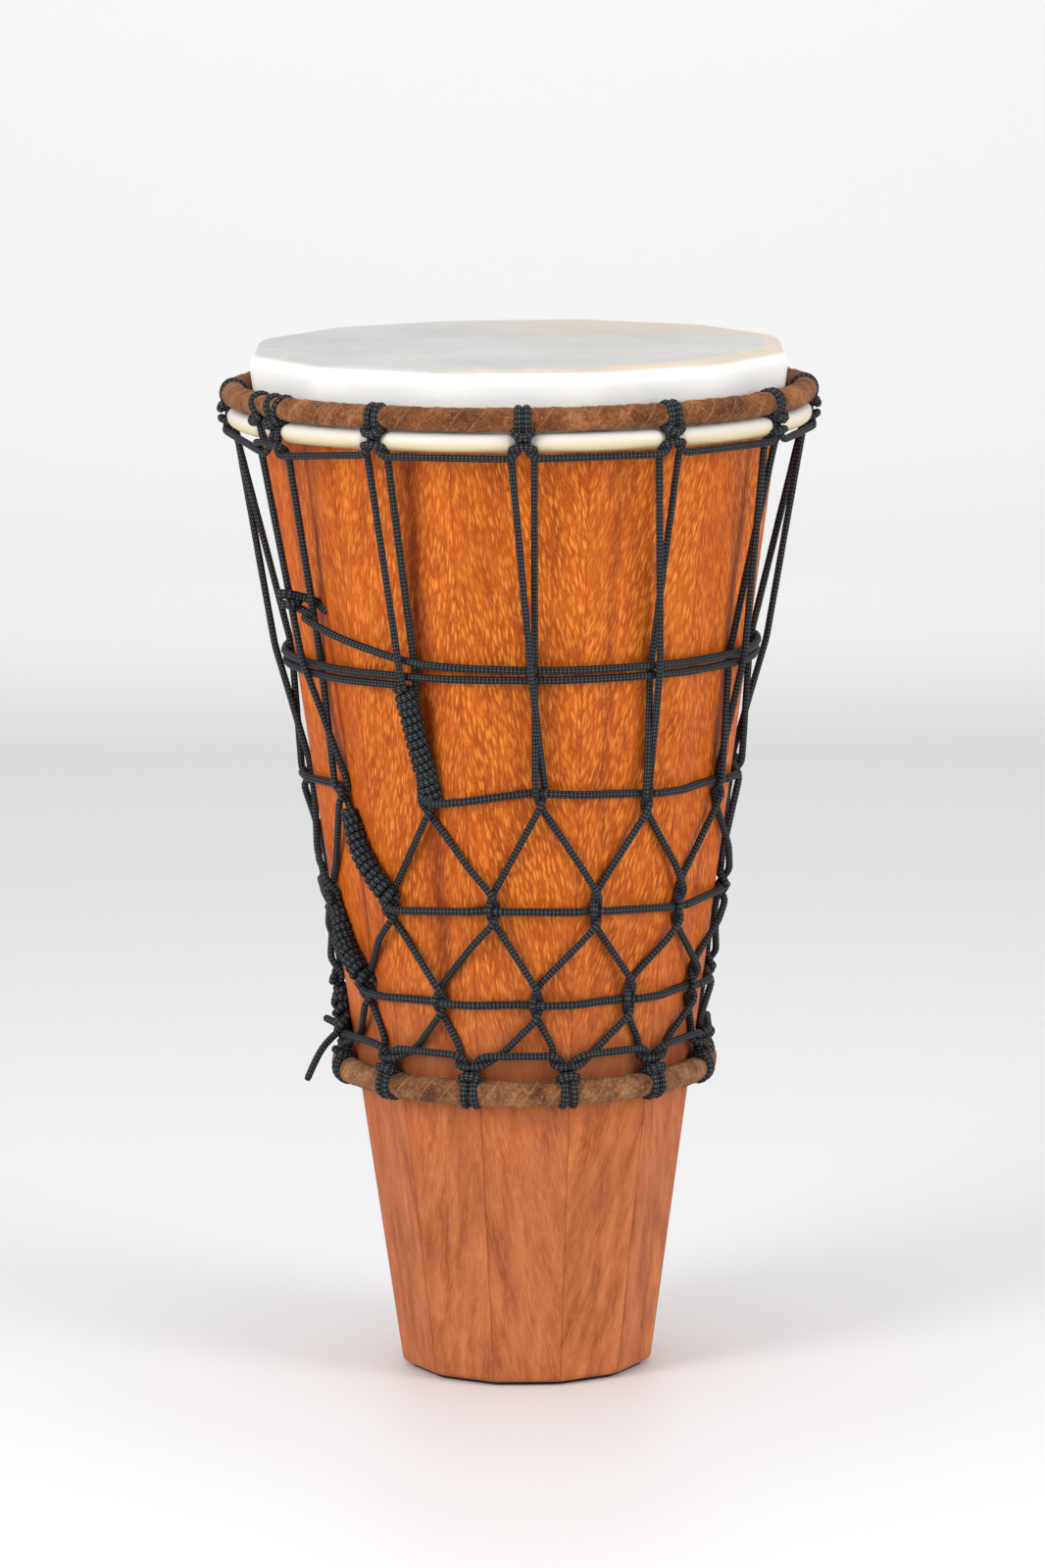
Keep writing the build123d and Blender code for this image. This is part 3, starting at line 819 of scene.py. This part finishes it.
def ramp(tree, source, stops):
    made = tree.nodes.new("ShaderNodeValToRGB")
    elements = made.color_ramp.elements
    while len(elements) < len(stops):
        elements.new(0.5)
    for element, (place, colour) in zip(elements, stops):
        element.position = place
        element.color = (*colour, 1.0)
    link(tree, source, made.inputs["Fac"])
    return made.outputs["Color"]


def placed(tree, turn=0.0):
    """Object coordinates, turned about the drum's axis."""
    coordinates = tree.nodes.new("ShaderNodeTexCoord")
    mapping = tree.nodes.new("ShaderNodeMapping")
    mapping.vector_type = "TEXTURE"
    set_inputs(mapping, {"Rotation": (0, 0, math.radians(turn))})
    link(tree, coordinates.outputs["Object"], mapping.inputs["Vector"])
    return mapping.outputs["Vector"]


def axes_of(tree, vector):
    """The X, Y and Z of a vector, as three outputs."""
    split = tree.nodes.new("ShaderNodeSeparateXYZ")
    link(tree, vector, split.inputs[0])
    return split.outputs


def vector_maths(tree, operation, vector, numbers, third=None):
    made = tree.nodes.new("ShaderNodeVectorMath")
    made.operation = operation
    made.inputs[1].default_value = numbers
    link(tree, vector, made.inputs[0])
    if third:
        link(tree, third, made.inputs[2])
    return made.outputs["Vector"]


def scaled(tree, vector, factors):
    return vector_maths(tree, "MULTIPLY", vector, factors)


def maths(tree, operation, first, second=None, third=None):
    made = tree.nodes.new("ShaderNodeMath")
    made.operation = operation
    for slot, value in zip(made.inputs, (first, second, third)):
        if isinstance(value, (int, float)):
            slot.default_value = value
        elif value is not None:
            link(tree, value, slot)
    return made.outputs[0]


def times(tree, first, second):
    return maths(tree, "MULTIPLY", first, second)


def plus(tree, first, second):
    return maths(tree, "ADD", first, second)


def inverse(tree, value):
    return maths(tree, "SUBTRACT", 1.0, value)


def mixed(tree, factor, first, second, blend="MIX"):
    made = tree.nodes.new("ShaderNodeMix")
    made.data_type = "RGBA"
    made.blend_type = blend
    for slot, value in ((made.inputs[0], factor), (made.inputs[6], first), (made.inputs[7], second)):
        if isinstance(value, (int, float)):
            slot.default_value = value
        elif isinstance(value, tuple):
            slot.default_value = (*value, 1.0)
        else:
            link(tree, value, slot)
    return made.outputs[2]


def darkened(tree, factor, colour, shade):
    return mixed(tree, factor, colour, shade, "MULTIPLY")


def stepped(tree, value, low, high):
    """0 below low, 1 above high, and smooth between."""
    made = tree.nodes.new("ShaderNodeMapRange")
    made.interpolation_type = "SMOOTHSTEP"
    set_inputs(made, {"From Min": low, "From Max": high})
    link(tree, value, made.inputs["Value"])
    return made.outputs["Result"]


def under(tree, value, low, high):
    """1 below low, 0 above high, and smooth between."""
    return inverse(tree, stepped(tree, value, low, high))


def attribute(tree, name):
    made = tree.nodes.new("ShaderNodeAttribute")
    made.attribute_name = name
    return made.outputs["Fac"]


def noise_node(tree, vector, scale, detail, rough=0.5):
    made = tree.nodes.new("ShaderNodeTexNoise")
    set_inputs(made, {"Scale": scale, "Detail": detail, "Roughness": rough})
    link(tree, vector, made.inputs["Vector"])
    return made


def noise_at(tree, vector, scale, detail=2.0, rough=0.5):
    return noise_node(tree, vector, scale, detail, rough).outputs["Fac"]


def cells_at(tree, vector, scale):
    """The distance to the nearest cell's middle, in cells, and that cell's random colour."""
    made = tree.nodes.new("ShaderNodeTexVoronoi")
    set_inputs(made, {"Scale": scale})
    link(tree, vector, made.inputs["Vector"])
    return made.outputs["Distance"], made.outputs["Color"]


def bumped(tree, height, strength, distance):
    made = tree.nodes.new("ShaderNodeBump")
    set_inputs(made, {"Strength": strength, "Distance": distance})
    link(tree, height, made.inputs["Height"])
    return made.outputs["Normal"]


ROPE_GROOVE_SHADE_AND_TOP_HIGHLIGHT = (  # painted shade in the grooves of the braid, up to a painted highlight on the tops of its strands
    (0.0, (0.002, 0.002, 0.002)), (0.48, (0.006, 0.007, 0.008)),
    (0.66, (0.028, 0.031, 0.036)), (0.88, (0.10, 0.11, 0.122)),
)


def rope_material():
    material, tree, shader = material_with("rope")
    # The braid's relief sets painted shade in its grooves and a painted highlight on its strand tops.
    link(tree, ramp(tree, attribute(tree, "relief"), ROPE_GROOVE_SHADE_AND_TOP_HIGHLIGHT), shader.inputs["Base Color"])
    set_inputs(shader, {"Roughness": 0.62, "Specular IOR Level": 0.22})
    return material


STAVE_LOOKS = [  # per stave: how the fleck leans, its tone, how strong the figure is, and how red it is
    (10, 0.98, 1.0, 0.0), (-12, 1.02, 1.0, 0.0), (8, 1.0, 0.8, 0.1), (-6, 0.95, 0.7, 0.2),
    (9, 1.05, 1.0, 0.0), (-9, 0.92, 0.9, 0.2), (5, 1.0, 0.8, 0.1), (-11, 0.97, 1.0, 0.0),
    (12, 1.03, 0.9, 0.1), (-7, 0.94, 0.8, 0.2), (4, 0.98, 0.6, 0.1), (-8, 1.0, 0.9, 0.0),
]
VEINS_AND_ROPE_SHADOWS = {  # a dark streak in the wood of a stave, and at keys 10 and 11 a painted shadow of the ropes beside it, key 11 partly a real dark stripe as well: its place as a tangent from the stave's middle, its width and its depth
    10: (0.09, 0.030, 0.75), 11: (0.09, 0.085, 0.85), 1: (-0.14, 0.05, 0.4),
    2: (0.05, 0.04, 0.4), 5: (-0.06, 0.04, 0.5), 8: (0.1, 0.05, 0.5),
}
GROUND_HIGH = ((0.30, (0.38, 0.064, 0.005)), (0.50, (0.49, 0.090, 0.006)), (0.72, (0.60, 0.125, 0.009)))
GROUND_LOW = ((0.30, (0.34, 0.086, 0.029)), (0.50, (0.48, 0.138, 0.045)), (0.72, (0.60, 0.20, 0.066)))
FLECK_HIGH, FLECK_LOW = (0.90, 0.29, 0.034), (0.62, 0.23, 0.075)
FIBRE_SHADES = ((0.30, (0.66, 0.60, 0.56)), (0.58, (1, 1, 1)))
CLOUD_SHADES = ((0.30, (0.72, 0.63, 0.58)), (0.60, (1, 1, 1)))
FLECK_CELLS, SMALL_CELLS = 690.0, 1150.0  # cells to the metre across the grain
FLECK_STRETCH, FIBRE_STRETCH = (1.0, 0.5, 0.18), (1.0, 1.0, 0.045)
LOW_DARK_BAND = (0.24, 0.075, 0.035)  # the dark band of the wood just above the lower ring


def toned(stops, tone):
    return [(place, (red * tone, green * tone, blue)) for place, (red, green, blue) in stops]


def wavered(tree, vector):
    """Coordinates pushed about a little, so that the grain wanders."""
    warp = noise_node(tree, vector, 9.0, 2.0).outputs["Color"]
    centred = vector_maths(tree, "SUBTRACT", warp, (0.5, 0.5, 0.5))
    return vector_maths(tree, "MULTIPLY_ADD", centred, (0.016, 0.0, 0.010), vector)


def flecks(tree, grain):
    """0 between the flecks and up to 1 in their middles, some of them fainter than others."""
    near, tint = cells_at(tree, grain, FLECK_CELLS)
    fine, _ = cells_at(tree, grain, SMALL_CELLS)
    split = tree.nodes.new("ShaderNodeSeparateColor")
    link(tree, tint, split.inputs[0])
    weight = maths(tree, "MULTIPLY_ADD", split.outputs[0], 0.6, 0.4)
    large = times(tree, under(tree, near, 0.24, 0.60), weight)
    small = times(tree, under(tree, fine, 0.1, 0.5), 0.4)
    return maths(tree, "MAXIMUM", large, small)


def seam_of(tree, sideways, outward):
    """1 along a stave's two long edges and 0 away from them."""
    half_width = times(tree, outward, math.tan(math.radians(HALF)))
    inside = maths(tree, "SUBTRACT", half_width, maths(tree, "ABSOLUTE", sideways))
    return under(tree, inside, 0.0001, 0.0007)


def vein_and_shadow_of(tree, sideways, outward, broad, place, width):
    """1 along the middle of a stave's dark streak in the wood, or of its painted rope shadow, and 0 beside
    it.
    """
    wavy = times(tree, maths(tree, "SUBTRACT", broad, 0.5), 0.05)
    across = plus(tree, maths(tree, "DIVIDE", sideways, outward), wavy)
    off = maths(tree, "ABSOLUTE", maths(tree, "SUBTRACT", across, place))
    return under(tree, off, 0.0, width)


def wood_material(n):
    """Lacewood: pale flecks in a darker ground, leaning a little, plainer and redder low down."""
    lean, tone, figure, red = STAVE_LOOKS[n]
    material, tree, shader = material_with(f"lacewood_{n + 1:02}")
    plain = placed(tree, n * STEP)
    leaned = tree.nodes.new("ShaderNodeMapping")
    place = (0.013 * n, 0.021 * n, 0.137 * n)
    set_inputs(leaned, {"Rotation": (0, math.radians(lean), 0), "Location": place})
    link(tree, wavered(tree, plain), leaned.inputs["Vector"])
    grain = scaled(tree, leaned.outputs["Vector"], FLECK_STRETCH)
    fibre = noise_at(tree, scaled(tree, leaned.outputs["Vector"], FIBRE_STRETCH), 900.0, 3.0, 0.65)
    broad = noise_at(tree, plain, 14.0)
    sideways, inward, height = axes_of(tree, plain)
    outward = times(tree, inward, -1.0)
    upper = plus(tree, height, times(tree, maths(tree, "SUBTRACT", broad, 0.5), 0.16))
    upper = stepped(tree, upper, 0.13, 0.30)

    strength = times(tree, maths(tree, "MULTIPLY_ADD", upper, 0.62, 0.38), figure)
    patch = maths(tree, "MULTIPLY_ADD", stepped(tree, broad, 0.36, 0.58), 0.3, 0.7)
    fleck = times(tree, flecks(tree, grain), times(tree, strength, patch))
    rings = noise_at(tree, grain, 130.0, 3.0, 0.6)
    high, low = [ramp(tree, rings, toned(stops, tone)) for stops in (GROUND_HIGH, GROUND_LOW)]
    colour = mixed(tree, fleck, mixed(tree, upper, low, high), mixed(tree, upper, FLECK_LOW, FLECK_HIGH))
    colour = darkened(tree, 0.55, colour, ramp(tree, fibre, FIBRE_SHADES))
    colour = darkened(tree, 0.4, colour, ramp(tree, noise_at(tree, plain, 7.0, 3.0, 0.55), CLOUD_SHADES))
    # A darker band in the wood just above the lower ring.
    band = times(tree, stepped(tree, height, 0.183, 0.190), under(tree, height, 0.196, 0.206))
    colour = mixed(tree, times(tree, band, 0.45), colour, LOW_DARK_BAND)
    seam = seam_of(tree, sideways, outward)
    colour = darkened(tree, times(tree, seam, 0.6), colour, (0.45, 0.32, 0.28))
    # Keys 10 and 11 paint the ropes' shadows onto the wood, stronger up high; the other keys are dark streaks
    # in the wood.
    if n in VEINS_AND_ROPE_SHADOWS:
        place, width, depth = VEINS_AND_ROPE_SHADOWS[n]
        vein_and_shadow = vein_and_shadow_of(tree, sideways, outward, broad, place, width)
        vein_and_shadow = times(tree, vein_and_shadow, maths(tree, "MULTIPLY_ADD", upper, 0.85 * depth, 0.15 * depth))
        colour = darkened(tree, vein_and_shadow, colour, (0.38, 0.24, 0.16))
    if red:
        colour = darkened(tree, red, colour, (0.85, 0.55, 0.5))
    link(tree, colour, shader.inputs["Base Color"])

    set_inputs(shader, {"Specular IOR Level": 0.16})
    rough = ramp(tree, fleck, ((0.0, (0.50, 0.50, 0.50)), (1.0, (0.36, 0.36, 0.36))))
    link(tree, rough, shader.inputs["Roughness"])
    relief = maths(tree, "MULTIPLY_ADD", fibre, 0.6, times(tree, fleck, 0.4))
    link(tree, bumped(tree, relief, 0.35, 0.0004), shader.inputs["Normal"])
    return material


SKIN_CLOUDS_AND_TOP_SHADE = ((0.30, (0.43, 0.43, 0.425)), (0.50, (0.52, 0.52, 0.51)), (0.72, (0.60, 0.595, 0.58)))
SKIN_VEINS = ((0.36, (0.90, 0.89, 0.87)), (0.56, (1, 1, 1)))
SKIRT_WHITE, ROLL_WHITE, ROLL_YELLOW = (0.92, 0.915, 0.90), (0.76, 0.745, 0.71), (0.62, 0.48, 0.19)
SKIN_STAIN, RIM_TAN, BACK_TAN = (0.80, 0.70, 0.55), (0.78, 0.58, 0.38), (0.62, 0.49, 0.37)


def skin_material():
    """Goat skin: clouded and grey-white on top, the grey there partly painted shade on the flat top; tan
    round the right and back, yellow under the roll.
    """
    material, tree, shader = material_with("goat_skin")
    plain = placed(tree)
    x, y, z = axes_of(tree, plain)
    clouds = noise_at(tree, plain, 9.0, 4.0, 0.6)
    fine = noise_at(tree, plain, 70.0, 4.0, 0.65)
    pores, _ = cells_at(tree, plain, 900.0)
    stain = times(tree, stepped(tree, noise_at(tree, plain, 5.0, 3.0, 0.6), 0.52, 0.72), 0.35)
    # The top's clouded greys are the skin's mottling, darkened partly as painted shade on the flat top.
    colour = mixed(tree, stain, ramp(tree, clouds, SKIN_CLOUDS_AND_TOP_SHADE), SKIN_STAIN)
    colour = darkened(tree, 0.7, colour, ramp(tree, fine, SKIN_VEINS))
    skirt = under(tree, z, 0.5962, 0.5986)
    colour = mixed(tree, times(tree, skirt, 0.8), colour, SKIRT_WHITE)

    from_axis = maths(tree, "SQRT", plus(tree, times(tree, x, x), times(tree, y, y)))
    right = plus(tree, times(tree, x, 3.2), times(tree, clouds, 0.9))
    rim = times(tree, stepped(tree, from_axis, 0.136, 0.152), stepped(tree, right, 0.25, 0.70))
    rim = times(tree, rim, inverse(tree, skirt))
    colour = mixed(tree, times(tree, rim, 0.6), colour, RIM_TAN)
    back = plus(tree, x, times(tree, clouds, 0.12))
    back = times(tree, stepped(tree, y, 0.0, 0.11), stepped(tree, back, 0.0, 0.10))
    back = times(tree, back, maths(tree, "SUBTRACT", 0.6, times(tree, skirt, 0.6)))
    colour = mixed(tree, back, colour, BACK_TAN)
    colour = mixed(tree, under(tree, z, 0.566, 0.572), colour, ROLL_WHITE)
    below = under(tree, z, 0.5555, 0.5650)
    colour = mixed(tree, times(tree, below, 0.8), colour, ROLL_YELLOW)
    link(tree, colour, shader.inputs["Base Color"])

    set_inputs(shader, {"Roughness": 0.42, "Specular IOR Level": 0.4})
    set_inputs(shader, {"Subsurface Weight": 0.08, "Subsurface Scale": 0.003})
    relief = maths(tree, "MULTIPLY_ADD", fine, 0.8, times(tree, pores, 0.25))
    link(tree, bumped(tree, relief, 0.4, 0.0006), shader.inputs["Normal"])
    return material


CROWN_SUEDE = (0.11, 0.033, 0.009), (0.28, 0.095, 0.029), (0.46, 0.19, 0.070)
LOWER_SUEDE = (0.11, 0.036, 0.012), (0.28, 0.108, 0.040), (0.45, 0.215, 0.095)
NAP_SHADES = ((0.38, (0.42, 0.39, 0.37)), (0.60, (1.0, 1.0, 1.0)))


def suede_material(name, shades, speckle):
    """Suede: a brown nap brushed lighter and darker in patches, with a painted highlight where a strip's edge
    stands up.
    """
    material, tree, shader = material_with(name)
    plain = placed(tree)
    nap = noise_at(tree, plain, 420.0, 4.0, 0.7)
    patches = noise_at(tree, plain, 55.0, 4.0, 0.6)
    specks = noise_at(tree, plain, 900.0)
    pale = shades[2]
    colour = ramp(tree, patches, list(zip((0.32, 0.50, 0.68), shades)))
    colour = darkened(tree, 0.9, colour, ramp(tree, nap, NAP_SHADES))
    spots = times(tree, stepped(tree, specks, 0.62, 0.70), speckle)
    colour = mixed(tree, spots, colour, tuple(min(1.0, c * 2.2) for c in pale))
    # A painted highlight along each strip's raised edge.
    edge = times(tree, stepped(tree, attribute(tree, "step"), 0.30, 0.55), 0.85)
    colour = mixed(tree, edge, colour, pale)
    link(tree, colour, shader.inputs["Base Color"])
    set_inputs(shader, {"Roughness": 0.95, "Specular IOR Level": 0.15})
    set_inputs(shader, {"Sheen Weight": 0.18, "Sheen Roughness": 0.6, "Sheen Tint": (0.75, 0.55, 0.4, 1)})
    link(tree, bumped(tree, nap, 1.0, 0.0022), shader.inputs["Normal"])
    return material


def plain_material(name, colour, roughness, metallic=0.0):
    material, tree, shader = material_with(name)
    darker = tuple(c * 0.8 for c in colour)
    shade = ramp(tree, noise_at(tree, placed(tree), 60.0), ((0.35, darker), (0.65, colour)))
    link(tree, shade, shader.inputs["Base Color"])
    set_inputs(shader, {"Roughness": roughness, "Metallic": metallic})
    return material


def dress(name, material):
    """Give a material to a piece that comes from the frame as it is."""
    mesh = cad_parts[name].data
    mesh.materials.clear()
    mesh.materials.append(material)


# ---------- camera, floor and light ----------
CAMERA_AT = (0.0001, -4.02766, 0.98326)
CAMERA_DOWN, CAMERA_ROLL = 0.15776, 0.00802
LENS, SENSOR = 160.7787, 36.0


def build_camera():
    data = bpy.data.cameras.new("camera")
    data.sensor_fit = "VERTICAL"
    data.sensor_height = SENSOR
    data.lens = LENS
    camera = new_object("camera", data)
    turn = Matrix.Rotation(math.pi / 2 - CAMERA_DOWN, 4, "X") @ Matrix.Rotation(-CAMERA_ROLL, 4, "Z")
    camera.matrix_world = Matrix.Translation(CAMERA_AT) @ turn
    bpy.context.scene.camera = camera
    bpy.context.scene.view_settings.view_transform = "Standard"


FLOOR_FRONT, FLOOR_BACK, FLOOR_SIDE = -6.0, 3.8, 7.0
BEND, BEND_STEPS, BACKDROP_TOP = 1.2, 12, 6.0


def build_floor():
    """A pale floor that curves up into a backdrop."""
    profile = [(FLOOR_FRONT, 0.0), (FLOOR_BACK, 0.0)]
    for k in range(1, BEND_STEPS + 1):
        angle = k / BEND_STEPS * math.pi / 2
        profile.append((FLOOR_BACK + BEND * math.sin(angle), BEND - BEND * math.cos(angle)))
    profile.append((FLOOR_BACK + BEND, BACKDROP_TOP))
    form = bmesh.new()
    rows = [[form.verts.new((x, y, z)) for y, z in profile] for x in (-FLOOR_SIDE, FLOOR_SIDE)]
    for k in range(len(profile) - 1):
        form.faces.new((rows[0][k], rows[1][k], rows[1][k + 1], rows[0][k + 1]))
    mesh = bpy.data.meshes.new("floor")
    form.to_mesh(mesh)
    form.free()
    mesh.shade_smooth()
    floor = new_object("floor", mesh)
    material, _, shader = material_with("floor")
    set_inputs(shader, {"Base Color": (0.83, 0.83, 0.835, 1), "Roughness": 0.5})
    mesh.materials.append(material)


def area_light(name, place, aim, size, power):
    data = bpy.data.lights.new(name, "AREA")
    data.shape = "RECTANGLE"
    data.size, data.size_y = size
    data.energy = power
    light = new_object(name, data)
    light.location = place
    light.rotation_euler = (Vector(aim) - Vector(place)).to_track_quat("-Z", "Y").to_euler()


def build_lights():
    world = bpy.data.worlds.new("world")
    world.use_nodes = True
    background = world.node_tree.nodes["Background"]
    set_inputs(background, {"Color": (1, 1, 1, 1), "Strength": 0.66})
    bpy.context.scene.world = world
    area_light("left box", (-1.7, -1.5, 1.3), (0, 0, 0.35), (1.0, 1.4), 34)
    area_light("right box", (1.9, -1.3, 1.2), (0, 0, 0.35), (1.0, 1.4), 27)
    area_light("top box", (0, 0.3, 2.4), (0, 0, 0.3), (1.6, 1.6), 10)
    area_light("back wall", (0, 2.6, 1.9), (0, 5.0, 1.6), (4.0, 1.6), 34)


build_camera()
build_floor()
build_lights()
for stave in range(SIDES):
    dress(f"stave_{stave + 1:02}", wood_material(stave))
rope_look = rope_material()
build_cradles(rope_look)
build_runs(rope_look)
build_belt_and_rows(rope_look)
build_coils(rope_look)
build_hitch(rope_look)
build_end_knot(rope_look)
build_tail(rope_look)
build_skin(skin_material())
wrapped_ring("crown_binding", (CROWN_R, CROWN_Z, CROWN_TUBE), knot_places(KNOT_TURN), 2,
             suede_material("crown_suede", CROWN_SUEDE, 0.4), "crown_wrap", "crown_ring_wrap")
wrapped_ring("lower_binding", (LOWER_R, LOWER_Z, LOWER_TUBE), knot_places(LOW_KNOT_TURN, False), 7,
             suede_material("lower_suede", LOWER_SUEDE, 0.35), "lower_wrap", "lower_ring_wrap")
steel_look = plain_material("ring_steel", (0.45, 0.45, 0.46), 0.4, 1.0)
for name in ("crown_ring", "lower_ring", "flesh_hoop"):
    dress(name, steel_look)
dress("foot_ring", plain_material("foot_rubber", (0.012, 0.012, 0.012), 0.8))
